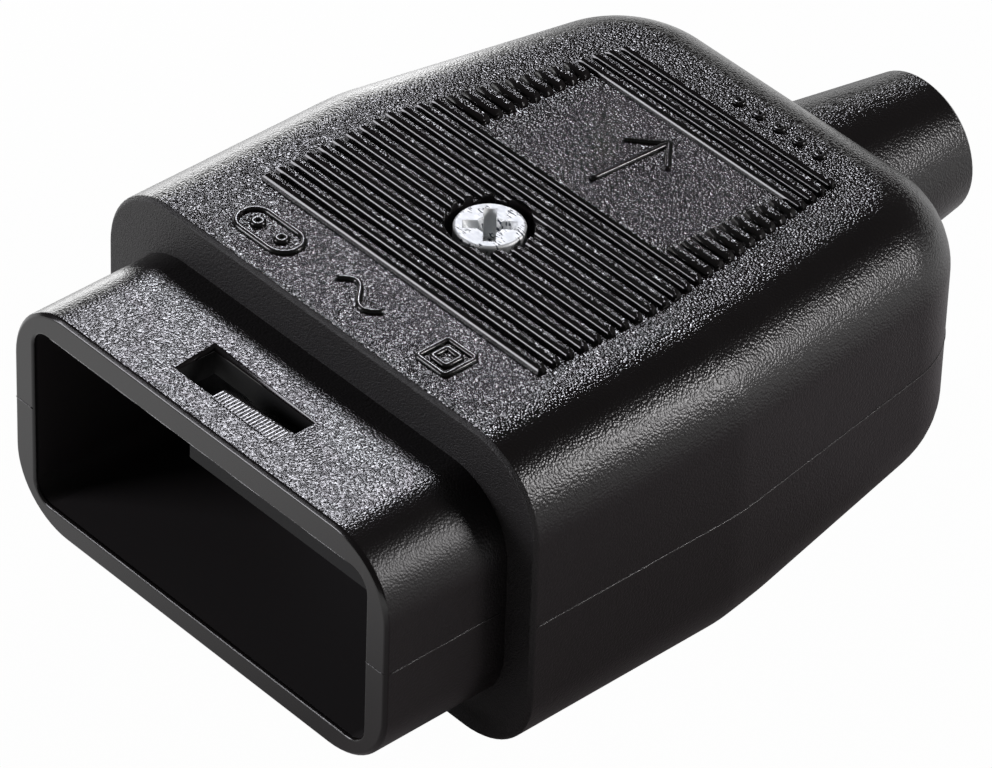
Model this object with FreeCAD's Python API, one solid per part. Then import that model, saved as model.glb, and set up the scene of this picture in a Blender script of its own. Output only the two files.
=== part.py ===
import FreeCAD, Part

import math
import os

from FreeCAD import Vector

# Socket half of a two-pole in-line cable coupler, in millimetres.
# X runs across, Y from the open mouth to the cable, Z up.
# The origin is on the underside, midway along the coupler.

# Body of the cover
body_width = 50.0
body_height = 29.3
body_length = 52.6
straight_length = 21.4        # parallel-sided front part, from the front face
rest_length = 25.0            # flat front part of the underside, from the front face
rear_width = 41.0             # across the rear, before its corners are rounded
rear_drop = 1.9               # fall of the top towards the rear
rear_lift = 2.5               # rise of the underside towards the rear
side_kink_radius = 14.0
slope_kink_radius = 40.0
rear_corner_radius = 10.3
top_edge_radius = 7.2
bottom_edge_radius = 7.3
front_edge_chamfer = 0.3

# Hood round the mouth
hood_length = 12.0
hood_width = 43.9
hood_height = 21.65
hood_underside = 3.6          # above the body's underside
hood_corner_radius = 6.3
hood_side_wall = 2.4
hood_floor_wall = 2.25
hood_roof_wall = 2.65
mouth_corner_radius = 1.8
rim_edge_chamfer = 0.3

# Polarising ledge under one half of the hood's roof
ledge_drop = 2.2
ledge_edge_x = -1.7
ledge_setback = 0.8           # behind the rim
ledge_corner_radius = 0.8

# Latch slot through the hood's roof, with a ramp down to the ledge
slot_length = 12.0
slot_shift = -0.15            # of its middle, across the hood
slot_width = 4.0
slot_setback = 3.0            # behind the rim
ramp_drop = 1.6
ramp_run = 2.9
ramp_lead = 1.2               # flat run before the ramp at its inner end
ramp_skew = 1.8               # longer flat run before the ramp at its outer end

# Ribbed grip on top, with a plain panel in it
rib_count = 26
rib_pitch = 1.43              # from the first rib to the second
rib_pitch_loss = 0.0052       # how much closer each further rib stands
rib_top_width = 0.4
rib_height = 0.6
rib_shoulder = 0.38           # height at which the front and the ends start to lean
rib_lean = 0.28               # how far they lean between shoulder and top
rib_draft = 0.2               # run of every flank for each millimetre of height
rib_root = 0.3                # how far a rib runs into the body
first_rib_setback = 8.6       # from the front face to the middle of the first rib's top
rib_half_length = 16.0
last_rib_half_length = 12.0
panel_half_width = 10.65
panel_first_rib = 13          # ribs before the panel
panel_rib_count = 9           # ribs that the panel interrupts

# Cable sleeve
sleeve_length = 13.0
sleeve_root_radius = 8.1
sleeve_end_radius = 6.2
sleeve_edge_chamfer = 0.5
sleeve_axis_height = 15.1
cable_bore_radius = 4.3
funnel_radius = 6.5
funnel_length = 6.0

# Retaining screw and its square nut
screw_setback = 17.5          # behind the front face
counterbore_radius = 3.55
counterbore_depth = 2.1
screw_head_radius = 2.88
screw_head_height = 2.4
screw_head_chamfer = 0.15
screw_thread_radius = 1.75
screw_tip_gap = 0.4           # from the tip to the nut's outer face
recess_span = 4.2
recess_bottom_span = 1.8
recess_wing = 0.95
recess_depth = 1.8
recess_core_radius = 1.05     # of the round middle between the wings, at the top
recess_core_end_radius = 0.5  # and at the bottom
recess_turn = 47.0            # degrees, about the screw's axis
nut_width = 5.5
nut_thickness = 2.6
nut_floor_gap = 0.2

# Socket contacts, one solid with its terminal each
contact_pitch = 19.0
pin_radius = 2.4
pin_clearance = 0.05
socket_wall = 0.85
socket_tube_length = 13.0
socket_nose = 1.0             # part of the tube held in the carrier's face wall
socket_slit = 0.7
socket_slit_length = 10.0
socket_chamfer = 0.4
bore_past_tube = 1.5          # how far the pin's bore runs on into the terminal
terminal_size = 8.0
terminal_length = 9.0
wire_hole_radius = 2.0
wire_hole_depth = 6.0
spring_thickness = 0.45
spring_width = 4.0
spring_setback = 3.0          # behind the tube's front end
spring_gap = 1.4
terminal_screw_setback = 3.6  # before the terminal's rear end
terminal_screw_length = 4.0
terminal_screw_head_radius = 2.5
terminal_screw_head_height = 1.8

# Carrier of the contacts, and its lid
socket_recess = 16.0          # from the rim to the carrier's face
face_wall = 4.0
pin_hole_clearance = 0.3
pin_hole_chamfer = 0.7
wiring_bay_length = 5.5
wiring_bay_wall = 2.0
saddle_length = 6.0
access_hole_clearance = 0.4

# Cord clamp on the carrier's saddle
clamp_grip_radius = 3.4
clamp_arch = 1.6
clamp_foot_height = 2.4
clamp_half_length = 12.5
clamp_end_gap = 0.25
clamp_screw_spacing = 18.0
clamp_screw_radius = 1.45
clamp_screw_length = 9.0
clamp_screw_head_radius = 2.6
clamp_screw_head_height = 1.8

# Clearances and driver slots
slide_clearance = 0.15        # carrier and lid in the cover
seat_clearance = 0.1          # contacts and nut in their pockets
thread_clearance = 0.05       # a screw in its thread
hole_clearance = 0.2          # a screw through a plain hole
driver_slot = 0.8
driver_slot_depth = 0.9

# Places along Y
mouth_y = -(hood_length + body_length + sleeve_length) / 2
front_y = mouth_y + hood_length
kink_y = front_y + straight_length
rest_end_y = front_y + rest_length
rear_y = front_y + body_length
sleeve_end_y = rear_y + sleeve_length
screw_y = front_y + screw_setback
face_y = mouth_y + socket_recess
wall_end_y = face_y + face_wall
tube_y = wall_end_y - socket_nose
terminal_y = tube_y + socket_tube_length
bay_y = terminal_y + terminal_length
terminal_screw_y = bay_y - terminal_screw_setback
saddle_y = bay_y + wiring_bay_length
cavity_end_y = saddle_y + saddle_length
clamp_screw_y = (saddle_y + cavity_end_y) / 2

# Places across X and up Z
hood_top = hood_underside + hood_height
cavity_half = hood_width / 2 - hood_side_wall
cavity_floor = hood_underside + hood_floor_wall
cavity_roof = hood_top - hood_roof_wall
ledge_height = cavity_roof - ledge_drop
contact_height = (cavity_floor + ledge_height) / 2
terminal_floor = contact_height - terminal_size / 2
terminal_top = contact_height + terminal_size / 2
lid_height = terminal_top + seat_clearance
screw_seat = body_height - counterbore_depth
nut_floor = cavity_floor + nut_floor_gap
nut_top = nut_floor + nut_thickness
clamp_foot_top = sleeve_axis_height + clamp_foot_height
clamp_top = max(sleeve_axis_height + clamp_grip_radius + clamp_arch,
                clamp_foot_top + clamp_screw_head_height)
socket_bore_radius = pin_radius + pin_clearance
socket_outer_radius = socket_bore_radius + socket_wall
screw_hole_radius = screw_thread_radius + hole_clearance

overlap = 1.0                 # how far cutting and joining solids run past a face
touch = 1e-6
X_AXIS = Vector(1, 0, 0)
Y_AXIS = Vector(0, 1, 0)
Z_AXIS = Vector(0, 0, 1)


def corner_arc(before, corner, after, radius):
    """Start, middle and end of the arc that rounds a corner."""
    back = (before - corner).normalize()
    ahead = (after - corner).normalize()
    half_angle = back.getAngle(ahead) / 2
    setback = radius / math.tan(half_angle)
    inward = (back + ahead).normalize()
    centre = corner + inward * (radius / math.sin(half_angle))
    return corner + back * setback, centre - inward * radius, corner + ahead * setback


def closed_wire(corners):
    """Closed wire through (point, radius) corners; a radius of 0 stays sharp."""
    points = [point for point, radius in corners]
    turns = []
    for index, (point, radius) in enumerate(corners):
        if radius > 0:
            after = points[(index + 1) % len(points)]
            turns.append(corner_arc(points[index - 1], point, after, radius))
        else:
            turns.append((point, None, point))
    edges = []
    for index, (start, middle, end) in enumerate(turns):
        if middle is not None:
            edges.append(Part.Arc(start, middle, end).toShape())
        following = turns[(index + 1) % len(turns)][0]
        if not end.isEqual(following, touch):
            edges.append(Part.makeLine(end, following))
    return Part.Wire(edges)


def prism(corners, direction):
    """Solid made by pushing a rounded outline along a direction."""
    return Part.Face(closed_wire(corners)).extrude(direction)


def polygon_face(points):
    """Flat face with straight sides."""
    return Part.Face(Part.makePolygon(points + points[:1]))


def block(low, high):
    """Box between two opposite corners."""
    size = high - low
    return Part.makeBox(size.x, size.y, size.z, low)


def rod(radius, base, direction, length):
    """Round bar from a base point."""
    return Part.makeCylinder(radius, length, base, direction)


def middle_of(edge):
    """Point and direction at an edge's middle."""
    parameter = (edge.FirstParameter + edge.LastParameter) / 2
    return edge.valueAt(parameter), edge.tangentAt(parameter)


def body_edges(body, upper):
    """Edges along the sides and rear of the top, or of the underside."""
    chosen = []
    for edge in body.Edges:
        point, direction = middle_of(edge)
        on_front = abs(point.y - front_y) < touch
        across = abs(point.x) < touch and point.y < rear_y - touch
        upright = abs(direction.z) > 0.5
        if (point.z > body_height / 2) == upper and not (on_front or across or upright):
            chosen.append(edge)
    return chosen


def edges_at_y(shape, y):
    """Edges that lie in one plane across the coupler."""
    return [edge for edge in shape.Edges
            if abs(edge.BoundBox.YMin - y) < touch and abs(edge.BoundBox.YMax - y) < touch]


def body_form():
    """Outside of the body: parallel front, tapered rear, rounded long edges."""
    half = body_width / 2
    rear_half = rear_width / 2
    plan = [(Vector(-half, front_y, 0), 0),
            (Vector(half, front_y, 0), 0),
            (Vector(half, kink_y, 0), side_kink_radius),
            (Vector(rear_half, rear_y, 0), rear_corner_radius),
            (Vector(-rear_half, rear_y, 0), rear_corner_radius),
            (Vector(-half, kink_y, 0), side_kink_radius)]
    profile = [(Vector(-half, front_y, 0), 0),
               (Vector(-half, rest_end_y, 0), slope_kink_radius),
               (Vector(-half, rear_y, rear_lift), 0),
               (Vector(-half, rear_y, body_height - rear_drop), 0),
               (Vector(-half, kink_y, body_height), slope_kink_radius),
               (Vector(-half, front_y, body_height), 0)]
    form = prism(plan, Z_AXIS * body_height).common(prism(profile, X_AXIS * body_width))
    form = form.makeFillet(top_edge_radius, body_edges(form, True))
    form = form.makeFillet(bottom_edge_radius, body_edges(form, False))
    return form.makeChamfer(front_edge_chamfer, edges_at_y(form, front_y))


def hood_form():
    """Outside of the hood, run a little way into the body."""
    half = hood_width / 2
    section = [(Vector(-half, mouth_y, hood_underside), hood_corner_radius),
               (Vector(half, mouth_y, hood_underside), hood_corner_radius),
               (Vector(half, mouth_y, hood_top), hood_corner_radius),
               (Vector(-half, mouth_y, hood_top), hood_corner_radius)]
    form = prism(section, Y_AXIS * (hood_length + overlap))
    return form.makeChamfer(rim_edge_chamfer, edges_at_y(form, mouth_y))


def sleeve_form():
    """Outside of the tapered cable sleeve, rooted in the rounded rear of the body."""
    root_y = rear_y - rear_corner_radius / 2
    growth = (sleeve_root_radius - sleeve_end_radius) / sleeve_length
    root_radius = sleeve_root_radius + growth * (rear_y - root_y)
    base = Vector(0, root_y, sleeve_axis_height)
    cone = Part.makeCone(root_radius, sleeve_end_radius, sleeve_end_y - root_y, base, Y_AXIS)
    return cone.makeChamfer(sleeve_edge_chamfer, edges_at_y(cone, sleeve_end_y))


def cavity_section(y, gap, ledge=True):
    """Outline of the hood's inside at y, drawn in by a gap on all sides but the floor."""
    half = cavity_half - gap
    roof = cavity_roof - gap
    corner = mouth_corner_radius - gap
    section = [(Vector(-half, y, cavity_floor), corner),
               (Vector(half, y, cavity_floor), corner)]
    if ledge:
        section += [(Vector(half, y, ledge_height - gap), ledge_corner_radius - gap),
                    (Vector(ledge_edge_x - gap, y, ledge_height - gap), 0),
                    (Vector(ledge_edge_x - gap, y, roof), 0)]
    else:
        section += [(Vector(half, y, roof), corner)]
    return section + [(Vector(-half, y, roof), corner)]


def cavity_form():
    """Hollow of the cover: mouth, ledge, seat of the carrier, clamp bay and way to the cable."""
    mouth = prism(cavity_section(mouth_y - overlap, 0, ledge=False),
                  Y_AXIS * (ledge_setback + overlap))
    inner = prism(cavity_section(mouth_y, 0), Y_AXIS * (cavity_end_y - mouth_y))
    clamp_bay_half = clamp_half_length + hole_clearance
    clamp_bay = block(Vector(-clamp_bay_half, saddle_y, sleeve_axis_height),
                      Vector(clamp_bay_half, cavity_end_y, clamp_top + hole_clearance))
    axis_point = Vector(0, cavity_end_y - overlap, sleeve_axis_height)
    slope = (funnel_radius - cable_bore_radius) / funnel_length
    funnel = Part.makeCone(funnel_radius + slope * overlap, cable_bore_radius,
                           funnel_length + overlap, axis_point, Y_AXIS)
    cable = rod(cable_bore_radius, axis_point, Y_AXIS, sleeve_end_y - axis_point.y + overlap)
    return mouth.fuse([inner, clamp_bay, funnel, cable])


def slot_form():
    """Latch slot, cut through the roof and the ledge under it."""
    low = Vector(slot_shift - slot_length / 2, mouth_y + slot_setback, ledge_height - overlap)
    return block(low, Vector(low.x + slot_length, low.y + slot_width, hood_top + overlap))


def ramp_form():
    """Ramp inside the slot, falling from the hood's top towards the body."""
    slot_y = mouth_y + slot_setback
    end_y = slot_y + ramp_run

    def section(x, start_y):
        points = [Vector(x, slot_y, ledge_height),
                  Vector(x, slot_y, hood_top),
                  Vector(x, start_y, hood_top),
                  Vector(x, end_y, hood_top - ramp_drop),
                  Vector(x, end_y, ledge_height)]
        return Part.makePolygon(points + points[:1])

    inner = section(ledge_edge_x, slot_y + ramp_lead)
    outer = section(slot_shift + slot_length / 2, slot_y + ramp_skew)
    return Part.makeLoft([inner, outer], True, True)


def top_height(y):
    """Height of the body's top at y."""
    share = max(0.0, (y - kink_y) / (rear_y - kink_y))
    return body_height - rear_drop * share


def rib_section(low_x, high_x, y, height):
    """Corners of a rib's level section at a height above the top."""
    draft = rib_draft * (rib_height - height)
    lean = rib_lean * min(1.0, (rib_height - height) / (rib_height - rib_shoulder))
    front = y - rib_top_width / 2 - draft - lean
    rear = y + rib_top_width / 2 + draft
    inset = rib_draft * rib_height + rib_lean - draft - lean
    z = top_height(y) + height
    return [Vector(low_x + inset, front, z), Vector(high_x - inset, front, z),
            Vector(high_x - inset, rear, z), Vector(low_x + inset, rear, z)]


def rib(low_x, high_x, y):
    """One raised rib with drafted flanks and a leaning front and ends, rooted in the top."""
    sections = [rib_section(low_x, high_x, y, height) for height in (-rib_root, rib_shoulder, rib_height)]
    faces = [polygon_face(sections[0]), polygon_face(sections[-1])]
    for lower, upper in zip(sections, sections[1:]):
        for index in range(len(lower)):
            faces.append(polygon_face([lower[index - 1], lower[index], upper[index], upper[index - 1]]))
    return Part.Solid(Part.Shell(faces))


def rib_y(index):
    """Place of a rib along the coupler, counted from 0 at the front."""
    nearer = rib_pitch_loss * index * (index - 1) / 2
    return front_y + first_rib_setback + rib_pitch * index - nearer


def grip_ribs():
    """All ribs; the panel splits some of them into two stubs."""
    last_y = rib_y(rib_count - 1)
    ribs = []
    for index in range(rib_count):
        y = rib_y(index)
        share = max(0.0, (y - kink_y) / (last_y - kink_y))
        half = rib_half_length + (last_rib_half_length - rib_half_length) * share
        if panel_first_rib <= index < panel_first_rib + panel_rib_count:
            ribs += [rib(-half, -panel_half_width, y), rib(panel_half_width, half, y)]
        else:
            ribs.append(rib(-half, half, y))
    return ribs


def screw_way():
    """Counterbore in the top and the plain hole under it."""
    counterbore = rod(counterbore_radius, Vector(0, screw_y, screw_seat), Z_AXIS,
                      counterbore_depth + rib_height + overlap)
    hole = rod(screw_hole_radius, Vector(0, screw_y, cavity_floor), Z_AXIS, body_height - cavity_floor)
    return counterbore.fuse(hole)


def cover():
    """One moulding: body, hood, ledge, latch slot, ribs and cable sleeve."""
    solid = body_form().fuse([hood_form(), sleeve_form()]).removeSplitter()
    solid = solid.cut(cavity_form())
    solid = solid.cut(slot_form()).fuse(ramp_form())
    solid = solid.fuse(grip_ribs())
    return solid.cut(screw_way()).removeSplitter()


def contact_x(side):
    """Place of a contact across the coupler; side is -1 or 1."""
    return side * contact_pitch / 2


def carrier_blank(start_y, end_y):
    """Stretch of the carrier's outline."""
    return prism(cavity_section(start_y, slide_clearance), Y_AXIS * (end_y - start_y))


def pin_hole(side):
    """Lead-in for a pin through the carrier's face, and the seat of the tube's nose."""
    x = contact_x(side)
    radius = socket_bore_radius + pin_hole_clearance
    hole = rod(radius, Vector(x, face_y, contact_height), Y_AXIS, face_wall)
    lead = Part.makeCone(radius + pin_hole_chamfer, radius, pin_hole_chamfer,
                         Vector(x, face_y, contact_height), Y_AXIS)
    nose = rod(socket_outer_radius + seat_clearance, Vector(x, tube_y, contact_height), Y_AXIS,
               socket_nose + overlap)
    return hole.fuse([lead, nose])


def contact_channel(side):
    """Open channel that holds a contact."""
    half = terminal_size / 2 + seat_clearance
    x = contact_x(side)
    return block(Vector(x - half, wall_end_y, terminal_floor),
                 Vector(x + half, bay_y + overlap, cavity_roof))


def nut_pocket():
    """Square pocket in the carrier's underside, and the screw's way to it."""
    half = nut_width / 2 + seat_clearance
    pocket = block(Vector(-half, screw_y - half, cavity_floor - overlap),
                   Vector(half, screw_y + half, nut_top))
    return pocket.fuse(rod(screw_hole_radius, Vector(0, screw_y, cavity_floor), Z_AXIS, cavity_roof))


def clamp_screw_x(side):
    """Place of a cord-clamp screw across the coupler; side is -1 or 1."""
    return side * clamp_screw_spacing / 2


def contact_carrier():
    """Hard insert: face wall, contact channels, wiring bay and cord saddle."""
    half = cavity_half
    solid = carrier_blank(face_y, cavity_end_y)
    above = block(Vector(-half, wall_end_y, lid_height),
                  Vector(half, cavity_end_y + overlap, cavity_roof))
    saddle = block(Vector(-half, saddle_y, sleeve_axis_height),
                   Vector(half, cavity_end_y + overlap, cavity_roof))
    bay_half = half - slide_clearance - wiring_bay_wall
    bay = block(Vector(-bay_half, bay_y, terminal_floor), Vector(bay_half, saddle_y, cavity_roof))
    trough = rod(clamp_grip_radius, Vector(0, saddle_y - overlap, sleeve_axis_height), Y_AXIS,
                 saddle_length + 2 * overlap)
    tools = [saddle, bay, trough, nut_pocket()]
    pilot_depth = clamp_screw_length - clamp_foot_height + screw_tip_gap
    for side in (-1, 1):
        pilot_base = Vector(clamp_screw_x(side), clamp_screw_y, sleeve_axis_height - pilot_depth)
        pilot = rod(clamp_screw_radius + thread_clearance, pilot_base, Z_AXIS, pilot_depth + overlap)
        tools += [pin_hole(side), contact_channel(side), pilot]
    return solid.cut(above.fuse(tools)).removeSplitter()


def carrier_lid():
    """Lid over the contacts, keyed by the same step as the ledge."""
    solid = carrier_blank(wall_end_y + seat_clearance, bay_y)
    below = block(Vector(-cavity_half, wall_end_y, cavity_floor - overlap),
                  Vector(cavity_half, bay_y, lid_height))
    tools = [rod(screw_hole_radius, Vector(0, screw_y, lid_height), Z_AXIS, cavity_roof - lid_height)]
    for side in (-1, 1):
        tools.append(rod(terminal_screw_head_radius + access_hole_clearance,
                         Vector(contact_x(side), terminal_screw_y, lid_height), Z_AXIS,
                         cavity_roof - lid_height))
    return solid.cut(below.fuse(tools)).removeSplitter()


def contact(side):
    """Turned socket tube, slit for spring, on a square pillar terminal."""
    x = contact_x(side)
    start = Vector(x, tube_y, contact_height)
    half = terminal_size / 2
    tube = rod(socket_outer_radius, start, Y_AXIS, socket_tube_length)
    terminal = block(Vector(x - half, terminal_y, terminal_floor),
                     Vector(x + half, bay_y, terminal_top))
    bore = rod(socket_bore_radius, start, Y_AXIS, socket_tube_length + bore_past_tube)
    lead = Part.makeCone(socket_bore_radius + socket_chamfer, socket_bore_radius, socket_chamfer,
                         start, Y_AXIS)
    slit_reach = Vector(socket_outer_radius + overlap, 0, socket_slit / 2)
    slit = block(start - slit_reach - Y_AXIS * overlap, start + slit_reach + Y_AXIS * socket_slit_length)
    wire = rod(wire_hole_radius, Vector(x, bay_y - wire_hole_depth, contact_height), Y_AXIS,
               wire_hole_depth + overlap)
    thread = rod(screw_thread_radius + thread_clearance, Vector(x, terminal_screw_y, contact_height),
                 Z_AXIS, half + overlap)
    return tube.fuse(terminal).cut(bore.fuse([lead, slit, wire, thread])).removeSplitter()


def contact_spring(side):
    """Split spring band round the slit end of a socket tube."""
    start = Vector(contact_x(side), tube_y + spring_setback, contact_height)
    inner_radius = socket_outer_radius + thread_clearance
    outer_radius = inner_radius + spring_thickness
    inside = rod(inner_radius, start, Y_AXIS, spring_width)
    band = rod(outer_radius, start, Y_AXIS, spring_width).cut(inside)
    gap = block(start - Vector(spring_gap / 2, overlap, outer_radius + overlap),
                start + Vector(spring_gap / 2, spring_width + overlap, 0))
    return band.cut(gap)


def slotted_screw(seat, thread_radius, length, head_radius, head_height):
    """Cheese-head screw standing on its seat, with a straight driver slot."""
    shank = rod(thread_radius, seat - Z_AXIS * length, Z_AXIS, length)
    head = rod(head_radius, seat, Z_AXIS, head_height)
    slot = block(seat + Vector(-head_radius, -driver_slot / 2, head_height - driver_slot_depth),
                 seat + Vector(head_radius, driver_slot / 2, head_height))
    return shank.fuse(head).cut(slot)


def terminal_screw(side):
    """Screw that clamps the wire in a terminal."""
    seat = Vector(contact_x(side), terminal_screw_y, terminal_top)
    return slotted_screw(seat, screw_thread_radius, terminal_screw_length,
                         terminal_screw_head_radius, terminal_screw_head_height)


def cord_clamp():
    """Arched bar that holds the cable's sheath down on the saddle."""
    y = saddle_y + clamp_end_gap
    arch_radius = clamp_grip_radius + clamp_arch
    arch_x = math.sqrt(arch_radius ** 2 - clamp_foot_height ** 2)

    def point(x, z):
        return Vector(x, y, sleeve_axis_height + z)

    edges = [Part.makeLine(point(-clamp_half_length, 0), point(-clamp_grip_radius, 0)),
             Part.Arc(point(-clamp_grip_radius, 0), point(0, clamp_grip_radius),
                      point(clamp_grip_radius, 0)).toShape(),
             Part.makeLine(point(clamp_grip_radius, 0), point(clamp_half_length, 0)),
             Part.makeLine(point(clamp_half_length, 0), point(clamp_half_length, clamp_foot_height)),
             Part.makeLine(point(clamp_half_length, clamp_foot_height), point(arch_x, clamp_foot_height)),
             Part.Arc(point(arch_x, clamp_foot_height), point(0, arch_radius),
                      point(-arch_x, clamp_foot_height)).toShape(),
             Part.makeLine(point(-arch_x, clamp_foot_height), point(-clamp_half_length, clamp_foot_height)),
             Part.makeLine(point(-clamp_half_length, clamp_foot_height), point(-clamp_half_length, 0))]
    bar = Part.Face(Part.Wire(edges)).extrude(Y_AXIS * (saddle_length - 2 * clamp_end_gap))
    holes = [rod(clamp_screw_radius + hole_clearance,
                 Vector(clamp_screw_x(side), clamp_screw_y, sleeve_axis_height - overlap),
                 Z_AXIS, clamp_foot_height + 2 * overlap) for side in (-1, 1)]
    return bar.cut(holes[0].fuse(holes[1]))


def cord_clamp_screw(side):
    """Screw through the cord clamp into the carrier's saddle."""
    seat = Vector(clamp_screw_x(side), clamp_screw_y, clamp_foot_top)
    return slotted_screw(seat, clamp_screw_radius, clamp_screw_length,
                         clamp_screw_head_radius, clamp_screw_head_height)


def recess_wing_form(turn):
    """One pair of wings of the cross recess, narrowing downwards."""
    top = screw_seat + screw_head_height
    points = [Vector(-recess_span / 2, -recess_wing / 2, top),
              Vector(-recess_bottom_span / 2, -recess_wing / 2, top - recess_depth),
              Vector(recess_bottom_span / 2, -recess_wing / 2, top - recess_depth),
              Vector(recess_span / 2, -recess_wing / 2, top)]
    wing = polygon_face(points).extrude(Y_AXIS * recess_wing)
    wing.rotate(Vector(0, 0, 0), Z_AXIS, turn)
    wing.translate(Vector(0, screw_y, 0))
    return wing


def retaining_screw():
    """Cross-recessed pan-head screw that holds the carrier in the cover."""
    tip = nut_floor + screw_tip_gap
    top = screw_seat + screw_head_height
    profile = [Vector(0, screw_y, tip),
               Vector(screw_thread_radius, screw_y, tip),
               Vector(screw_thread_radius, screw_y, screw_seat),
               Vector(screw_head_radius, screw_y, screw_seat),
               Vector(screw_head_radius, screw_y, top - screw_head_chamfer),
               Vector(screw_head_radius - screw_head_chamfer, screw_y, top),
               Vector(0, screw_y, top)]
    solid = polygon_face(profile).revolve(Vector(0, screw_y, 0), Z_AXIS, 360)
    core = Part.makeCone(recess_core_end_radius, recess_core_radius, recess_depth,
                         Vector(0, screw_y, top - recess_depth))
    return solid.cut([recess_wing_form(recess_turn), recess_wing_form(recess_turn + 90), core])


def retaining_nut():
    """Square nut trapped in the carrier's underside."""
    half = nut_width / 2
    nut = block(Vector(-half, screw_y - half, nut_floor), Vector(half, screw_y + half, nut_top))
    thread = rod(screw_thread_radius + thread_clearance, Vector(0, screw_y, nut_floor), Z_AXIS,
                 nut_thickness)
    return nut.cut(thread)


pieces = {"cover": cover(),
          "contact_carrier": contact_carrier(),
          "carrier_lid": carrier_lid(),
          "cord_clamp": cord_clamp(),
          "retaining_screw": retaining_screw(),
          "retaining_nut": retaining_nut()}
for name, side in (("left", -1), ("right", 1)):
    pieces["contact_" + name] = contact(side)
    pieces["contact_spring_" + name] = contact_spring(side)
    pieces["terminal_screw_" + name] = terminal_screw(side)
    pieces["cord_clamp_screw_" + name] = cord_clamp_screw(side)

os.makedirs("parts", exist_ok=True)
for name, shape in pieces.items():
    shape.exportStep(os.path.join("parts", name + ".step"))
    print(name, "solids", len(shape.Solids), "valid", shape.isValid(), "volume", round(shape.Volume, 2))
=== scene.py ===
import math

import bmesh
import bpy
from mathutils import Matrix, Vector, noise
from mathutils.bvhtree import BVHTree


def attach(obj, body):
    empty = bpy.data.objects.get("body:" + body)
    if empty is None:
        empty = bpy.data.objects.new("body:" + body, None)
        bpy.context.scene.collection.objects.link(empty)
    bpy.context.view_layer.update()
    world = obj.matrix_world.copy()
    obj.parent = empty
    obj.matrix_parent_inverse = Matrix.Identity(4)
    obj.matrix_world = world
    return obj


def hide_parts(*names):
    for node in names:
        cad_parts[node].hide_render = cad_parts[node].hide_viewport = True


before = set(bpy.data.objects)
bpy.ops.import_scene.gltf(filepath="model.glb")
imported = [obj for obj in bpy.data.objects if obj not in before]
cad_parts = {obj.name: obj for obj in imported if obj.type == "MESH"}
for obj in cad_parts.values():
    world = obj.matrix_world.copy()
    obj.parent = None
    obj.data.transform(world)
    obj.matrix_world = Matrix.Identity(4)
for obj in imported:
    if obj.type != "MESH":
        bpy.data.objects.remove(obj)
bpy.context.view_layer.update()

MM = 0.001                       # the frame is in metres, the sizes below in millimetres

# Camera of the photograph, in the part's frame
CAMERA_PLACE = (320.967, -308.991, 361.526)
CAMERA_RIGHT = (0.66725, 0.7443, 0.02821)
CAMERA_UP = (-0.47703, 0.39795, 0.78363)
CAMERA_BACK = (0.57203, -0.53634, 0.62058)
CAMERA_LENS = 259.49
CAMERA_SENSOR = 36.0

# Softboxes: place and aim in millimetres, width and height in metres, strength, colour
MIDDLE = (0.0, 0.0, 15.0)
LAMPS = {"key_back_left": ((-466.0, 365.0, 552.0), MIDDLE, 0.15, 0.15, 31.0, (0.97, 0.97, 1.05)),
         "strip_left": ((-106.0, 12.0, 21.0), (-22.0, -42.0, 21.0), 0.1, 0.042, 3.6, (1.0, 1.0, 1.0)),
         "rim_back_right": ((530.0, 464.0, 352.0), MIDDLE, 0.18, 0.18, 33.0, (1.0, 0.98, 0.99)),
         "low_front_left": ((-456.0, -608.0, 231.0), MIDDLE, 0.35, 0.3, 10.5, (0.98, 0.97, 1.03))}
ROOM_LIGHT = 0.06
WHITE = (1.0, 1.0, 1.0, 1.0)

# Floor: its size in metres, how much of its white is plain, and the shade that mirrors see as dark
FLOOR_HALF = 3.0
FLOOR_Z = -0.00002
FLOOR_WHITE = 0.985
FLOOR_PAPER = (0.41, 0.375, 0.38, 1.0)
SHADE_CENTRE = (55.0, 0.0, 0.0)
SHADE_INNER = 40.0
SHADE_OUTER = 112.0

# Places on the cover
MOUTH_Y = -38.8
FRONT_Y = -26.8
KINK_Y = -5.4
REAR_Y = 25.8
TOP_Z = 29.3
REAR_DROP = 1.9
HOOD_TOP = 25.25
MOUTH_HALF = 19.55
MOUTH_FLOOR = 5.85
MOUTH_ROOF = 22.6
LEDGE_DROP = 2.2
PARTING_Z = 14.5

# Latch slot in the hood's roof, with its ridged ramp
SLOT_LENGTH = 12.0
SLOT_WIDTH = 4.0
RAMP_START_Y = -35.8
RAMP_END_Y = -32.9
RAMP_DROP = 1.6
RAMP_INNER_X = -1.7
RAMP_OUTER_X = 5.85
RAMP_INNER_FLAT = 1.2
RAMP_OUTER_FLAT = 1.8
RAMP_STEPS = 18
RIDGE_PITCH = 0.36
RIDGE_LEAD = 0.25
RIDGE_HEIGHT = 0.035
RIDGE_FILL = 0.92                # of the pitch
RIDGE_RISE_STEPS = 3
SLOT_LEFT_X = RAMP_OUTER_X - SLOT_LENGTH
SLOT_REAR_Y = RAMP_START_Y + SLOT_WIDTH

# Hollows of the cover for its finish: lowest corner, highest corner, soft border along x, y and z
MOUTH_BOX = ((-MOUTH_HALF - 0.1, MOUTH_Y + 0.4, MOUTH_FLOOR - 0.1),
             (MOUTH_HALF + 0.1, FRONT_Y + 5.0, MOUTH_ROOF + 0.1), (0.2, 0.1, 0.2))
SLOT_BOX = ((SLOT_LEFT_X - 0.1, RAMP_START_Y - 0.1, MOUTH_ROOF - LEDGE_DROP - 0.1),
            (RAMP_OUTER_X + 0.1, SLOT_REAR_Y + 0.1, HOOD_TOP - 0.5), (0.05, 0.05, 0.1))

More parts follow.
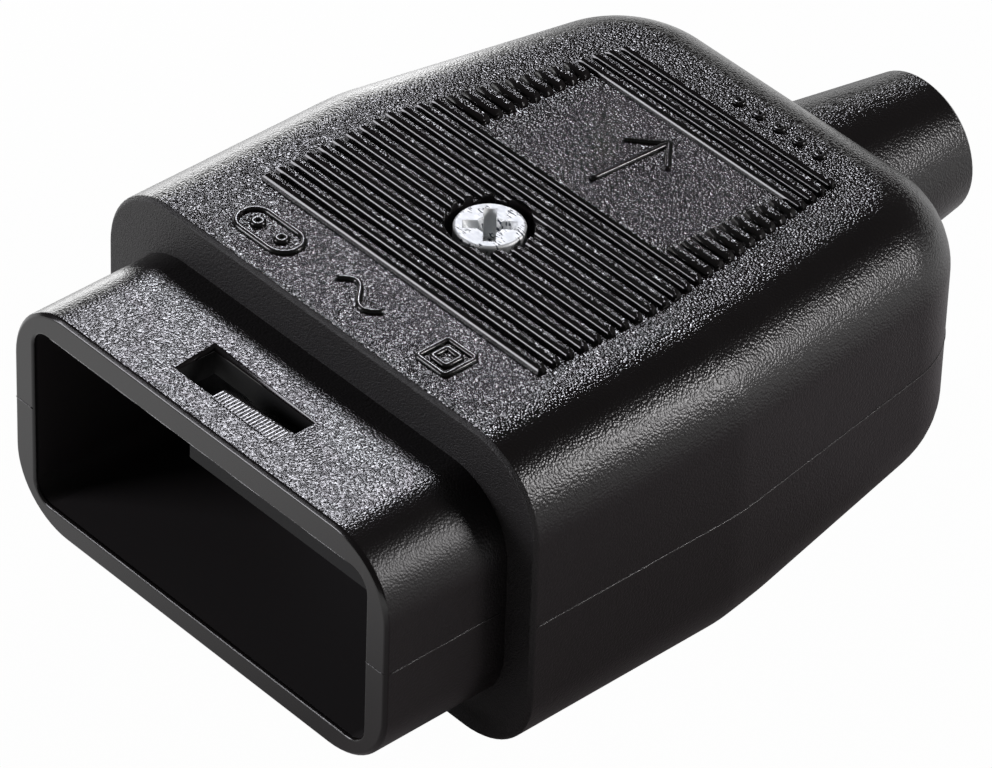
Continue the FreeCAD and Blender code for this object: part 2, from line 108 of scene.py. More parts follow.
# Grain of the rubber: cells per millimetre, depth in millimetres, shares of the front top's depth
GRAIN_PER_MM = 5.1
FINE_PER_MM = 7.6
FINE_SHARE = 0.25
GRAIN_DEPTH = 0.0473
HOOD_GRAIN = 0.7
REAR_GRAIN = 1.2
REAR_GRAIN_RUN = (-16.0, 4.0)    # y where it starts to change and where it is full
TILTED_GRAIN = 0.6
FRONT_GRAIN = 1.8

# Ways that the cover's faces look, as runs of one number of their direction
FRONT_RUN = (-0.45, -0.2)        # y, from facing the front to not facing it
LEFT_RUN = (-0.6, -0.15)         # x, from facing left to not facing it
UPRIGHT_RUN = (0.9, 0.998)       # z, from tilted to level, for the grain
LEANING_RUN = (0.65, 0.975)      # z, from tilted to level, for the roughness

# Roughness and colours of the rubber
BODY_ROUGH = 0.13
HOOD_ROUGH = 0.21
TILTED_ROUGH = 0.2               # added on surfaces that lean to a side
LEFT_ROUGH = 0.22                # added on the body's left
FRONT_ROUGH = 0.55
RIM_ROUGH = 0.18
MOUTH_ROUGH = 0.5
DULL_ROUGH = 0.85                # slot's walls and ledge's front
ROUGH_SPREAD = 0.12
STAIN_PER_MM = 0.25
BODY_BLACKS = ((0.0068, 0.0055, 0.0056, 1.0), (0.0095, 0.0078, 0.0079, 1.0))
# paler black in the mouth: painted light, standing in for light that the hollow lacks
MOUTH_PAINTED_LIGHT_BLACK = (0.03, 0.027, 0.0275, 1.0)
# near black on the slot's walls and the ledge's front: painted shade of those recesses
PAINTED_SHADE_BLACK = (0.003, 0.003, 0.003, 1.0)
LINE_BLACKS = ((0.006, 0.005, 0.005, 1.0), (0.01, 0.009, 0.009, 1.0))
# paler than the cover: thin flash is greyer, and the paler colour also paints light that the flash lines
# catch
FLASH_BLACKS = ((0.022, 0.021, 0.021, 1.0), (0.05, 0.048, 0.048, 1.0))

# Other materials: darkest and lightest colour, roughness, depth of the bump in millimetres
LINE_ROUGH = (0.16, 0.26)
LINE_BUMP = 0.01
PLASTIC_BLACKS = ((0.02, 0.02, 0.022, 1.0), (0.035, 0.035, 0.037, 1.0))
PLASTIC_ROUGH = (0.4, 0.55)
PLASTIC_BUMP = 0.02
ZINC_GREYS = ((0.7, 0.72, 0.73, 1.0), (0.88, 0.89, 0.88, 1.0))
ZINC_SCRATCH = (0.05, 0.06, 0.085, 1.0)
ZINC_SCRATCH_STRETCH = (0.8, 3.2, 0.8)
ZINC_ROUGH = (0.58, 0.66)
ZINC_BUMP = 0.02
METAL_BUMP = 0.012
METAL_ROUGH_SPREAD = (-0.06, 0.08)

# Metals: darkest and lightest colour, stretch of the streaks, roughness
METALS = {"contact_brass": ((0.5, 0.34, 0.13, 1.0), (0.78, 0.58, 0.28, 1.0), (1.0, 12.0, 1.0), 0.3),
          "spring_steel": ((0.38, 0.38, 0.4, 1.0), (0.55, 0.55, 0.57, 1.0), (1.0, 1.0, 10.0), 0.28),
          "plated_steel": ((0.5, 0.52, 0.55, 1.0), (0.74, 0.75, 0.76, 1.0), (1.0, 1.0, 8.0), 0.32)}

# Softened edges of the mouldings
WELD_DISTANCE = 0.001
SHARP_ANGLE = math.radians(28)
FLAT_ANGLE = math.radians(0.2)
EDGE_TOLERANCE = 0.02
EDGE_SEGMENTS = 4
EDGE_ROUNDING = 0.1
SCREW_ROUNDING = 0.08
SLOT_ROUNDING = 0.4
MOUTH_ROUNDING = 0.25
RIB_ROUNDING = 0.16
RIB_SHOULDER = 0.38
RIB_TOLERANCE = 0.06

# Raised lines: profile across, as shares of half the width and of the height
BEAD_SINK = 0.08
BEAD_PROFILE = ((-1.0, 0.0), (-0.88, 0.5), (-0.6, 0.88), (-0.22, 1.0),
                (0.22, 1.0), (0.6, 0.88), (0.88, 0.5), (1.0, 0.0))

# Raised marks without a meaning of their own
MARK_WIDTH = 0.55
MARK_HEIGHT = 0.3
MARK_ROW_Y = FRONT_Y + 4.2
PILL_X = -10.5
PILL_HALF = (3.2, 1.5)
PILL_CORNER = 1.49
DOT_SHIFT = 1.4
DOT_HALF = 0.4
DOT_CORNER = 0.39
WAVE_LENGTH = 5.6
WAVE_SWING = 1.0
WAVE_STEPS = 24
SQUARE_X = 10.0
SQUARES = ((1.6, 0.3), (0.8, 0.2))   # half side and corner
SQUARE_STEPS = 4
ARROW_Y = FRONT_Y + 32.2
ARROW_TAIL = 4.2
ARROW_SHAFT_STEP = 0.6
ARROW_SHAFT_POINTS = 15
ARROW_HEAD_HALF = 2.6
ARROW_HEAD_START = 1.6
ARROW_HEAD_STEPS = 10
PIPS_Y = FRONT_Y + 45.0
PIP_COUNT = 5
PIP_FIRST_X = -1.0
PIP_PITCH = 2.3
PIP_HALF = 0.35
PIP_CORNER = 0.34

# Mould flash: along the parting line, found by rays from outside, and along the mouth's edges
FLASH_WIDTH = 0.14
FLASH_HEIGHT = 0.06
RAGGED_BASE = 0.7                # share of the height that is always there
RAGGED_WAVES = ((0.5, 0.45), (0.25, 2.3))   # share of the height and waves per millimetre
RAY_REACH = 60.0
RAY_STEP = 0.3
RAY_MARGIN = 0.4
HOOD_RAYS = 38
BODY_RAYS = 105
TURN_RAYS = 70
TURN_STEP = math.radians(0.9)
TURN_CENTRE_Y = 5.0
RIM_RAYS = 11
RIM_RAY_STEP = 0.2
RIM_RAY_MARGIN = 0.15
RIM_RAY_REACH = 20.0
MOUTH_FLASH_HALF = 17.5
MOUTH_FLASH_STEP = 0.25
MOUTH_FLASH_POINTS = 141
MOUTH_FLASH_WIDTH = 0.1
MOUTH_FLASH_HEIGHT = 0.05


def link(obj):
    """Puts an object in the scene."""
    bpy.context.scene.collection.objects.link(obj)
    return obj


def add_camera():
    """Camera at the photograph's viewing angle."""
    data = bpy.data.cameras.new("camera")
    data.lens = CAMERA_LENS
    data.sensor_width = CAMERA_SENSOR
    data.sensor_fit = "HORIZONTAL"
    data.clip_start = 0.01
    data.clip_end = 20.0
    camera = link(bpy.data.objects.new("camera", data))
    turn = Matrix((CAMERA_RIGHT, CAMERA_UP, CAMERA_BACK)).transposed().to_4x4()
    camera.matrix_world = Matrix.Translation(Vector(CAMERA_PLACE) * MM) @ turn
    bpy.context.scene.camera = camera


def add_softbox(name, place, aim, width, height, strength, colour):
    """Rectangular area lamp."""
    data = bpy.data.lights.new(name, "AREA")
    data.shape = "RECTANGLE"
    data.size = width
    data.size_y = height
    data.energy = strength * math.pi * width * height
    data.color = colour
    lamp = link(bpy.data.objects.new(name, data))
    backward = Vector(place) - Vector(aim)
    turn = backward.to_track_quat("Z", "Y").to_matrix().to_4x4()
    lamp.matrix_world = Matrix.Translation(Vector(place) * MM) @ turn


class Graph:
    """Small helper that adds and joins nodes of one tree."""

    def __init__(self, tree):
        self.tree = tree
        tree.nodes.clear()

    def add(self, kind, **settings):
        """New node; settings name its properties or, with values, its input sockets."""
        node = self.tree.nodes.new(kind)
        for key, value in settings.items():
            if hasattr(node, key):
                setattr(node, key, value)
            else:
                self.feed(node.inputs[key.replace("_", " ")], value)
        return node

    def feed(self, socket, value):
        """Sets a socket, or joins another node's output to it."""
        if isinstance(value, bpy.types.NodeSocket):
            self.tree.links.new(value, socket)
        else:
            socket.default_value = value

    def math(self, operation, first, second=None, third=None):
        """Output of one sum on numbers."""
        node = self.tree.nodes.new("ShaderNodeMath")
        node.operation = operation
        for socket, value in zip(node.inputs, (first, second, third)):
            if value is not None:
                self.feed(socket, value)
        return node.outputs[0]

    def ramp(self, value, low, high, start=0.0, end=1.0):
        """Number that goes smoothly from start to end while value goes from low to high."""
        node = self.tree.nodes.new("ShaderNodeMapRange")
        node.interpolation_type = "SMOOTHSTEP"
        for key, number in (("Value", value), ("From Min", low), ("From Max", high),
                            ("To Min", start), ("To Max", end)):
            self.feed(node.inputs[key], number)
        return node.outputs["Result"]

    def blend(self, share, first, second):
        """Number between first and second."""
        difference = self.math("SUBTRACT", second, first)
        return self.math("MULTIPLY_ADD", difference, share, first)

    def tint(self, share, first, second):
        """Colour between first and second."""
        node = self.tree.nodes.new("ShaderNodeMix")
        node.data_type = "RGBA"
        self.feed(node.inputs["Factor"], share)
        self.feed(node.inputs["A"], first)
        self.feed(node.inputs["B"], second)
        return node.outputs["Result"]

    def parts(self, vector):
        """The three numbers of a vector."""
        node = self.tree.nodes.new("ShaderNodeSeparateXYZ")
        self.feed(node.inputs[0], vector)
        return node.outputs

    def place(self, stretch=(1.0, 1.0, 1.0)):
        """Place on the part in millimetres, stretched for streaks."""
        node = self.tree.nodes.new("ShaderNodeVectorMath")
        node.operation = "MULTIPLY"
        self.feed(node.inputs[0], self.add("ShaderNodeTexCoord").outputs["Object"])
        self.feed(node.inputs[1], [share / MM for share in stretch])
        return node.outputs[0]

    def noise(self, place, scale, detail=2.0):
        """Soft noise around 0.5."""
        node = self.add("ShaderNodeTexNoise", Scale=scale, Detail=detail)
        self.feed(node.inputs["Vector"], place)
        return node.outputs["Fac"]

    def cells(self, place, scale):
        """Small rounded bumps, high in the middle of each."""
        node = self.add("ShaderNodeTexVoronoi", feature="SMOOTH_F1", Scale=scale, Smoothness=0.35)
        self.feed(node.inputs["Vector"], place)
        return self.math("SUBTRACT", 1.0, node.outputs["Distance"])

    def between(self, value, low, high, fade):
        """1 from low to high and 0 outside."""
        rise = self.ramp(value, low - fade, low)
        fall = self.ramp(value, high, high + fade, 1.0, 0.0)
        return self.math("MULTIPLY", rise, fall)

    def inside_box(self, place, low, high, fades):
        """1 in a box and 0 outside."""
        x, y, z = (self.between(*limits) for limits in zip(place, low, high, fades))
        return self.math("MULTIPLY", self.math("MULTIPLY", x, y), z)

    def surface(self, height, depth, **settings):
        """Finished material: a principled shader over a bump of that depth in millimetres."""
        bump = self.add("ShaderNodeBump", Strength=1.0, Distance=depth * MM)
        self.feed(bump.inputs["Height"], height)
        shader = self.add("ShaderNodeBsdfPrincipled", **settings)
        self.feed(shader.inputs["Normal"], bump.outputs[0])
        self.output(shader)

    def output(self, shader):
        """Joins a shader to the material's end."""
        end = self.add("ShaderNodeOutputMaterial")
        self.feed(end.inputs["Surface"], shader.outputs[0])


def new_material(name):
    """Empty node material and its graph."""
    material = bpy.data.materials.new(name)
    material.use_nodes = True
    return material, Graph(material.node_tree)


def floor_white():
    """White paper with a faint shadow; mirrors see it white outside the part's shade."""
    material, graph = new_material("floor_white")
    path = graph.add("ShaderNodeLightPath")
    away = graph.add("ShaderNodeVectorMath", operation="DISTANCE")
    graph.feed(away.inputs[0], graph.place())
    graph.feed(away.inputs[1], SHADE_CENTRE)
    open_floor = graph.ramp(away.outputs["Value"], SHADE_INNER, SHADE_OUTER)
    mirrored = graph.math("MULTIPLY", path.outputs["Is Glossy Ray"], open_floor)
    seen = graph.math("MAXIMUM", path.outputs["Is Camera Ray"], path.outputs["Is Transmission Ray"])
    share = graph.math("MULTIPLY", graph.math("MAXIMUM", seen, mirrored), FLOOR_WHITE)
    paper = graph.add("ShaderNodeBsdfDiffuse", Color=FLOOR_PAPER)
    glow = graph.add("ShaderNodeEmission", Color=WHITE, Strength=1.0)
    mix = graph.add("ShaderNodeMixShader")
    for socket, source in zip(mix.inputs, (share, paper.outputs[0], glow.outputs[0])):
        graph.feed(socket, source)
    graph.output(mix)
    return material


def add_floor():
    """Flat floor under the part."""
    corners = [(x * FLOOR_HALF, y * FLOOR_HALF, FLOOR_Z) for x, y in ((-1, -1), (1, -1), (1, 1), (-1, 1))]
    mesh = bpy.data.meshes.new("floor")
    mesh.from_pydata(corners, [], [(0, 1, 2, 3)])
    mesh.materials.append(floor_white())
    link(bpy.data.objects.new("floor", mesh))


def add_world():
    """Dim room."""
    world = bpy.data.worlds.new("room")
    world.use_nodes = True
    bpy.context.scene.world = world
    graph = Graph(world.node_tree)
    dim = graph.add("ShaderNodeBackground", Color=WHITE, Strength=ROOM_LIGHT)
    end = graph.add("ShaderNodeOutputWorld")
    graph.feed(end.inputs["Surface"], dim.outputs[0])


class CoverPlaces:
    """Where on the cover a point lies and which way it faces: masks from 0 to 1 and plain numbers."""

    def __init__(self, graph):
        self.place = graph.place()
        parts = graph.parts(self.place)
        facing = graph.parts(graph.add("ShaderNodeNewGeometry").outputs["Normal"])
        self.y = parts[1]
        self.rightward = facing[0]
        self.upward = facing[2]
        self.faces_front = graph.ramp(facing[1], *FRONT_RUN, 1.0, 0.0)
        slot = graph.inside_box(parts, *SLOT_BOX)
        self.inside = graph.math("MAXIMUM", graph.inside_box(parts, *MOUTH_BOX), slot)
        # slot's walls and the ledge's front: duller, and coloured darker as painted shade
        self.dull_and_painted_shade = graph.math("MAXIMUM", slot, graph.math("MULTIPLY", self.inside, self.faces_front))
        self.on_hood = graph.ramp(self.y, FRONT_Y - 0.2, FRONT_Y, 1.0, 0.0)
        before_ribs = graph.ramp(self.y, FRONT_Y + 0.5, FRONT_Y + 0.7, 1.0, 0.0)
        self.at_front = graph.math("MULTIPLY", self.faces_front, before_ribs)


def rubber_height(graph, cover, fine):
    """Leathery grain outside, a faint one on the body's front, none on the rim and in the mouth."""
    upright = graph.ramp(cover.upward, *UPRIGHT_RUN, TILTED_GRAIN, 1.0)
    body_grain = graph.ramp(cover.y, *REAR_GRAIN_RUN, 1.0, REAR_GRAIN)
    strength = graph.math("MULTIPLY", upright, graph.blend(cover.on_hood, body_grain, HOOD_GRAIN))
    smooth = graph.math("MAXIMUM", cover.faces_front, cover.inside)
    grainy = graph.math("MULTIPLY", strength, graph.math("SUBTRACT", 1.0, smooth))
    relief = graph.math("MULTIPLY_ADD", fine, FINE_SHARE, graph.cells(cover.place, GRAIN_PER_MM))
    front = graph.math("MULTIPLY", cover.at_front, graph.blend(cover.on_hood, FRONT_GRAIN, 0.0))
    return graph.math("ADD", graph.math("MULTIPLY", relief, grainy), graph.math("MULTIPLY", fine, front))


def rubber_colour(graph, cover):
    """Uneven black; paler in the mouth as painted light, and near black in the slot and on the ledge's
    front as painted shade.
    """
    outside = graph.tint(graph.noise(cover.place, STAIN_PER_MM, 4.0), *BODY_BLACKS)
    return graph.tint(cover.inside, outside, graph.tint(cover.dull_and_painted_shade, MOUTH_PAINTED_LIGHT_BLACK, PAINTED_SHADE_BLACK))


def rubber_roughness(graph, cover, fine):
    """Glossy on top, duller on the sides, the front and inside."""
    leaning = graph.ramp(cover.upward, *LEANING_RUN, TILTED_ROUGH, 0.0)
    sideways = graph.math("MULTIPLY", leaning, graph.math("SUBTRACT", 1.0, cover.faces_front))
    leftward = graph.blend(cover.on_hood, graph.ramp(cover.rightward, *LEFT_RUN, LEFT_ROUGH, 0.0), 0.0)
    added = graph.math("ADD", sideways, leftward)
    sheen = graph.math("ADD", added, graph.blend(cover.on_hood, BODY_ROUGH, HOOD_ROUGH))
    front = graph.blend(cover.on_hood, FRONT_ROUGH, RIM_ROUGH)
    outside = graph.blend(cover.at_front, sheen, front)
    satin = graph.blend(cover.inside, outside, graph.blend(cover.dull_and_painted_shade, MOUTH_ROUGH, DULL_ROUGH))
    return graph.math("MULTIPLY_ADD", graph.math("SUBTRACT", fine, 0.5), ROUGH_SPREAD, satin)


def rubber():
    """Black moulded rubber of the cover."""
    material, graph = new_material("cover_rubber")
    cover = CoverPlaces(graph)
    fine = graph.noise(cover.place, FINE_PER_MM)
    graph.surface(rubber_height(graph, cover, fine), GRAIN_DEPTH,
                  Base_Color=rubber_colour(graph, cover), Roughness=rubber_roughness(graph, cover, fine))
    return material


def smooth_rubber(name, dark, light):
    """Rubber without grain, for raised lines."""
    material, graph = new_material(name)
    fine = graph.noise(graph.place(), 4.0)
    graph.surface(fine, LINE_BUMP, Base_Color=graph.tint(fine, dark, light),
                  Roughness=graph.ramp(fine, 0.3, 0.7, *LINE_ROUGH))
    return material


def moulded_plastic():
    """Hard black plastic with a faint mould texture."""
    material, graph = new_material("carrier_plastic")
    place = graph.place()
    fine = graph.noise(place, 5.0, 3.0)
    graph.surface(fine, PLASTIC_BUMP, Base_Color=graph.tint(fine, *PLASTIC_BLACKS),
                  Roughness=graph.ramp(graph.noise(place, 0.6), 0.35, 0.65, *PLASTIC_ROUGH))
    return material


def scratched_zinc():
    """Satin zinc plate with a few dark bluish scratches."""
    material, graph = new_material("screw_zinc")
    cloud = graph.noise(graph.place(), 0.8, 3.0)
    scratch = graph.noise(graph.place(ZINC_SCRATCH_STRETCH), 2.2, 3.0)
    marked = graph.math("MULTIPLY", graph.ramp(scratch, 0.53, 0.6), graph.ramp(cloud, 0.5, 0.57))
    plate = graph.tint(graph.ramp(cloud, 0.3, 0.7), *ZINC_GREYS)
    graph.surface(graph.math("SUBTRACT", cloud, marked), ZINC_BUMP, Metallic=1.0,
                  Base_Color=graph.tint(marked, plate, ZINC_SCRATCH),
                  Roughness=graph.ramp(scratch, 0.3, 0.7, *ZINC_ROUGH))
    return material


def metal(name, dark, bright, stretch, roughness):
    """Bare or plated metal with fine streaks along one direction."""
    material, graph = new_material(name)
    streaks = graph.noise(graph.place(stretch), 6.0, 4.0)
    stain = graph.noise(graph.place(), 0.9, 3.0)
    lowest, highest = (roughness + change for change in METAL_ROUGH_SPREAD)
    graph.surface(streaks, METAL_BUMP, Metallic=1.0,
                  Base_Color=graph.tint(graph.ramp(stain, 0.35, 0.6), dark, bright),
                  Roughness=graph.ramp(streaks, 0.3, 0.7, lowest, highest))
    return material


def top_z(y):
    """Height of the body's top at y."""
    return TOP_Z - REAR_DROP * max(0.0, (y - KINK_Y) / (REAR_Y - KINK_Y))


def near(values, target):
    """Whether all the values lie at a target."""
    return all(abs(value - target) < EDGE_TOLERANCE for value in values)


def on_slot_edge(places):
    """Whether an edge lies along the latch slot's left or rear upper edge."""
    x, y, z = zip(*places)
    return near(z, HOOD_TOP) and (near(x, SLOT_LEFT_X) or near(y, SLOT_REAR_Y))


def on_mouth_edge(places):
    """Whether an edge lies along the rim's inner edge."""
    return all(abs(y - MOUTH_Y) < EDGE_TOLERANCE and abs(x) < MOUTH_HALF + EDGE_TOLERANCE
               and MOUTH_FLOOR - EDGE_TOLERANCE < z < MOUTH_ROOF + EDGE_TOLERANCE
               for x, y, z in places)


def on_rib_shoulder(places):
    """Whether an edge lies where the front or an end of a rib starts to lean."""
    return all(abs(z - top_z(y) - RIB_SHOULDER) < RIB_TOLERANCE for x, y, z in places)


def anywhere(places):
    """True for every edge."""
    return True


def round_edges(mesh, edges, belongs, rounding):
    """Rounds those edges, of the ones still there, that belong to a place."""
    chosen = [edge for edge in edges
              if edge.is_valid and belongs([corner.co / MM for corner in edge.verts])]
    bmesh.ops.bevel(mesh, geom=chosen, offset=rounding * MM, offset_type="OFFSET",
                    segments=EDGE_SEGMENTS, profile=0.5, affect="EDGES", clamp_overlap=False,
                    loop_slide=True)


def soft_edged(node_name, rounding):
    """Copy of a node's mesh with its flat facets joined and its sharp outer edges rounded."""
    mesh = bmesh.new()
    mesh.from_mesh(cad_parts[node_name].data)
    bmesh.ops.remove_doubles(mesh, verts=mesh.verts, dist=WELD_DISTANCE * MM)
    bmesh.ops.dissolve_limit(mesh, angle_limit=FLAT_ANGLE, verts=mesh.verts, edges=mesh.edges)
    sharp = [edge for edge in mesh.edges if edge.calc_face_angle(0.0) > SHARP_ANGLE]
    for edge in sharp:
        edge.smooth = edge.is_convex
    outer = [edge for edge in sharp if edge.is_convex]
    round_edges(mesh, outer, on_slot_edge, SLOT_ROUNDING)
    round_edges(mesh, outer, on_mouth_edge, MOUTH_ROUNDING)
    round_edges(mesh, outer, on_rib_shoulder, RIB_ROUNDING)
    round_edges(mesh, outer, anywhere, rounding)
    for face in mesh.faces:
        face.smooth = True
    data = bpy.data.meshes.new(node_name + "_skin")
    mesh.to_mesh(data)
    mesh.free()
    return data


def add_piece(data, material):
    """A mesh as a piece that goes with the part."""
    piece = link(bpy.data.objects.new(data.name, data))
    data.materials.append(material)
    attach(piece, "root")
    return piece


def add_skin(node_name, rounding, material):
    """A node's own form with softened edges, shown in its place."""
    skin = add_piece(soft_edged(node_name, rounding), material)
    even = skin.modifiers.new("even_shading", "WEIGHTED_NORMAL")
    even.weight = 100
    even.keep_sharp = True
    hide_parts(node_name)
    return skin


class Beads:
    """Raised lines gathered into one mesh."""

    def __init__(self):
        self.points = []
        self.faces = []

    def add(self, path, normals, width, heights, closed=False):
        """One line along a path of points in millimetres, with its foot sunk under the surface."""
        start = len(self.points)
        count = len(path)
        for index, point in enumerate(path):
            before = path[index - 1] if index > 0 or closed else point
            after = path[(index + 1) % count] if index < count - 1 or closed else point
            side = (after - before).cross(normals[index]).normalized() * (width / 2)
            rise = normals[index] * heights[index]
            sink = normals[index] * -BEAD_SINK
            for across, up in BEAD_PROFILE:
                self.points.append(point + side * across + (rise * up if up > 0 else sink))
        self.join(start, count, closed)

    def join(self, start, count, closed):
        """Faces between the profiles of one line, and over its ends if it has any."""
        corners = len(BEAD_PROFILE)
        for index in range(count if closed else count - 1):
            here = start + index * corners
            there = start + (index + 1) % count * corners
            for corner in range(corners):
                following = (corner + 1) % corners
                self.faces.append((here + corner, here + following, there + following, there + corner))
        if not closed:
            self.faces.append(tuple(range(start + corners - 1, start - 1, -1)))
            end = start + (count - 1) * corners
            self.faces.append(tuple(range(end, end + corners)))

    def mesh(self, name):
        """The gathered lines as a smooth mesh."""
        data = bpy.data.meshes.new(name)
        data.from_pydata([point * MM for point in self.points], [], self.faces)
        solid = bmesh.new()
        solid.from_mesh(data)
        bmesh.ops.recalc_face_normals(solid, faces=solid.faces)
        for face in solid.faces:
            face.smooth = True
        solid.to_mesh(data)
        solid.free()
        return data


def ring(x, y, half_x, half_y, corner, steps=8):
    """Rounded box or circle as points on a plane."""
    points = []
    for turn, (sign_x, sign_y) in enumerate(((1, 1), (-1, 1), (-1, -1), (1, -1))):
        for step in range(steps):
            angle = (turn + step / (steps - 1)) * math.pi / 2
            points.append((x + sign_x * (half_x - corner) + corner * math.cos(angle),
                           y + sign_y * (half_y - corner) + corner * math.sin(angle)))
    return points


def add_mark(beads, flat_points, closed):
    """One raised stroke on the body's top."""
    path = [Vector((x, y, top_z(y))) for x, y in flat_points]
    normals = [Vector((0.0, 0.0, 1.0))] * len(path)
    beads.add(path, normals, MARK_WIDTH, [MARK_HEIGHT] * len(path), closed)


def add_front_row(beads):
    """Pill with two dots, wave, and square in a square."""
    add_mark(beads, ring(PILL_X, MARK_ROW_Y, *PILL_HALF, PILL_CORNER), True)
    for shift in (-DOT_SHIFT, DOT_SHIFT):
        add_mark(beads, ring(PILL_X + shift, MARK_ROW_Y, DOT_HALF, DOT_HALF, DOT_CORNER), True)
    wave = []
    for step in range(WAVE_STEPS + 1):
        share = step / WAVE_STEPS
        swing = WAVE_SWING * math.sin(share * 2 * math.pi)
        wave.append((share * WAVE_LENGTH - WAVE_LENGTH / 2, MARK_ROW_Y + swing))
    add_mark(beads, wave, False)
    for half, corner in SQUARES:
        add_mark(beads, ring(SQUARE_X, MARK_ROW_Y, half, half, corner, SQUARE_STEPS), True)


def add_arrow(beads):
    """Arrow on the plain panel, towards the sleeve."""
    tail_y = ARROW_Y - ARROW_TAIL
    add_mark(beads, [(0.0, tail_y + step * ARROW_SHAFT_STEP) for step in range(ARROW_SHAFT_POINTS)], False)
    pitch = ARROW_HEAD_HALF / ARROW_HEAD_STEPS
    half_head = [(ARROW_HEAD_HALF - step * pitch, ARROW_Y + ARROW_HEAD_START + step * pitch)
                 for step in range(ARROW_HEAD_STEPS + 1)]
    add_mark(beads, [(-x, y) for x, y in half_head] + half_head[::-1], False)


def add_marks(material):
    """Plain shapes where the photographed part has lettering."""
    beads = Beads()
    add_front_row(beads)
    add_arrow(beads)
    for step in range(PIP_COUNT):
        pip_x = PIP_FIRST_X + step * PIP_PITCH
        add_mark(beads, ring(pip_x, PIPS_Y, PIP_HALF, PIP_HALF, PIP_CORNER), True)
    add_piece(beads.mesh("raised_marks"), material)


def ragged(point, height):
    """Uneven height of a flash line."""
    return height * sum((share * noise.noise(point * waves) for share, waves in RAGGED_WAVES), RAGGED_BASE)


def side_rays(side, first_y, count):
    """Rays at one side of the part, square to it, as (start, direction)."""
    return [((side * RAY_REACH, first_y + RAY_MARGIN + step * RAY_STEP), (-side, 0.0))
            for step in range(count)]


def corner_rays(side):
    """Rays round one rear corner, as (start, direction)."""
    rays = []
    for step in range(TURN_RAYS):
        angle = step * TURN_STEP
        x, y = side * math.cos(angle), math.sin(angle)
        rays.append(((RAY_REACH * x, TURN_CENTRE_Y + RAY_REACH * y), (-x, -y)))
    return rays


def rim_rays(side):
    """Rays across one side of the rim from the front, as (start, direction)."""
    return [((side * (MOUTH_HALF + RIM_RAY_MARGIN + step * RIM_RAY_STEP), MOUTH_Y - RIM_RAY_REACH),
             (0.0, 1.0)) for step in range(RIM_RAYS)]


def parting_rays():
    """Rays from outside at the parting height, one run for each line of flash."""
    runs = []
    for side in (-1, 1):
        runs.append(side_rays(side, MOUTH_Y, HOOD_RAYS))
        runs.append(side_rays(side, FRONT_Y, BODY_RAYS) + corner_rays(side))
        runs.append(rim_rays(side))
    return runs


def add_parting_flash(beads, skin):
    """Flash where the mould's halves met."""
    shape = bmesh.new()
    shape.from_mesh(skin.data)
    tree = BVHTree.FromBMesh(shape)
    shape.free()
    for run in parting_rays():
        path = []
        normals = []
        for (start_x, start_y), (x, y) in run:
            start = Vector((start_x, start_y, PARTING_Z)) * MM
            place, normal, _, _ = tree.ray_cast(start, Vector((x, y, 0.0)))
            path.append(place / MM)
            normals.append(normal)
        beads.add(path, normals, FLASH_WIDTH, [ragged(point, FLASH_HEIGHT) for point in path])


def add_mouth_flash(beads):
    """Flash along the rounded upper and lower edges of the mouth."""
    inset = MOUTH_ROUNDING * (1.0 - math.sqrt(0.5))
    for z, up in ((MOUTH_ROOF, -1.0), (MOUTH_FLOOR, 1.0)):
        path = [Vector((step * MOUTH_FLASH_STEP - MOUTH_FLASH_HALF, MOUTH_Y + inset, z - up * inset))
                for step in range(MOUTH_FLASH_POINTS)]
        normals = [Vector((0.0, -1.0, up)).normalized()] * len(path)
        heights = [ragged(point, MOUTH_FLASH_HEIGHT) for point in path]
        beads.add(path, normals, MOUTH_FLASH_WIDTH, heights)


def add_flash(skin, material):
    """Thin uneven flash of the cover."""
    beads = Beads()
    add_parting_flash(beads, skin)
    add_mouth_flash(beads)
    add_piece(beads.mesh("mould_flash"), material)


def ramp_path(x, flat):
    """Line along the latch ramp at x: a level run, then a fall."""
    path = []
    for step in range(RAMP_STEPS + 1):
        y = RAMP_START_Y - RIDGE_LEAD + (RAMP_END_Y - RAMP_START_Y + RIDGE_LEAD) * step / RAMP_STEPS
        along = max(0.0, (y - RAMP_START_Y - flat) / (RAMP_END_Y - RAMP_START_Y - flat))
        path.append(Vector((x, y, HOOD_TOP - RAMP_DROP * along)))
    return path


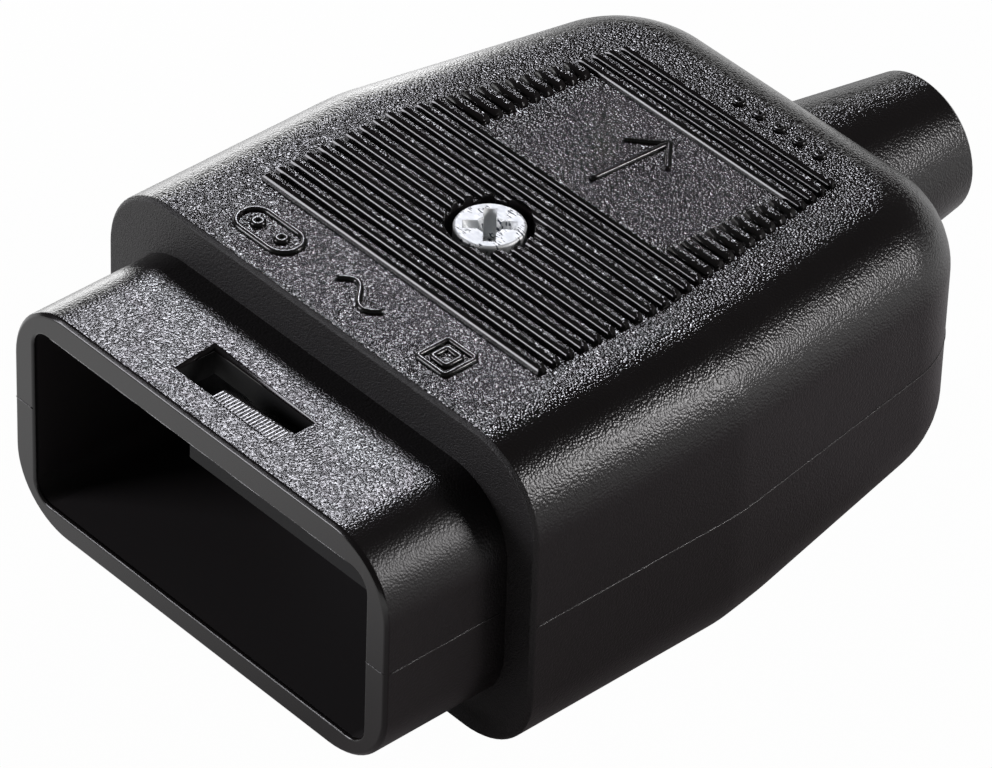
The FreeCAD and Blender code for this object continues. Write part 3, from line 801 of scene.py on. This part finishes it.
def add_ridges(material):
    """Fine grip ridges on the latch ramp."""
    beads = Beads()
    count = int((RAMP_OUTER_X - RAMP_INNER_X) / RIDGE_PITCH)
    for index in range(count):
        x = RAMP_INNER_X + RIDGE_PITCH * (index + 0.5)
        share = (x - RAMP_INNER_X) / (RAMP_OUTER_X - RAMP_INNER_X)
        path = ramp_path(x, RAMP_INNER_FLAT + (RAMP_OUTER_FLAT - RAMP_INNER_FLAT) * share)
        normals = []
        for step in range(len(path)):
            along = path[min(step + 1, len(path) - 1)] - path[max(step - 1, 0)]
            normals.append(Vector((1.0, 0.0, 0.0)).cross(along).normalized())
        heights = [RIDGE_HEIGHT * min(1.0, step / RIDGE_RISE_STEPS) for step in range(len(path))]
        beads.add(path, normals, RIDGE_PITCH * RIDGE_FILL, heights)
    add_piece(beads.mesh("latch_ridges"), material)


def dress_nodes():
    """Finishes of the solids that are shown as they are."""
    plastic = moulded_plastic()
    brass, spring, plated = (metal(name, *look) for name, look in METALS.items())
    finishes = {"contact_carrier": plastic, "carrier_lid": plastic, "cord_clamp": plastic,
                "retaining_nut": brass}
    for side in ("left", "right"):
        finishes["contact_" + side] = brass
        finishes["contact_spring_" + side] = spring
        finishes["terminal_screw_" + side] = plated
        finishes["cord_clamp_screw_" + side] = plated
    for name, material in finishes.items():
        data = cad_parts[name].data
        data.materials.clear()
        data.materials.append(material)


def dress_part():
    """Skins, fine raised forms and finishes."""
    cover = add_skin("cover", EDGE_ROUNDING, rubber())
    add_skin("retaining_screw", SCREW_ROUNDING, scratched_zinc())
    polished = smooth_rubber("smooth_rubber", *LINE_BLACKS)
    # flash paler than the cover: greyer thin rubber, and painted light that the lines catch
    flash_grey_and_painted_light = smooth_rubber("flash_rubber", *FLASH_BLACKS)
    add_ridges(polished)
    add_flash(cover, flash_grey_and_painted_light)
    add_marks(polished)
    dress_nodes()


bpy.context.scene.view_settings.view_transform = "Standard"
add_camera()
add_world()
add_floor()
for lamp_name, lamp in LAMPS.items():
    add_softbox(lamp_name, *lamp)
dress_part()
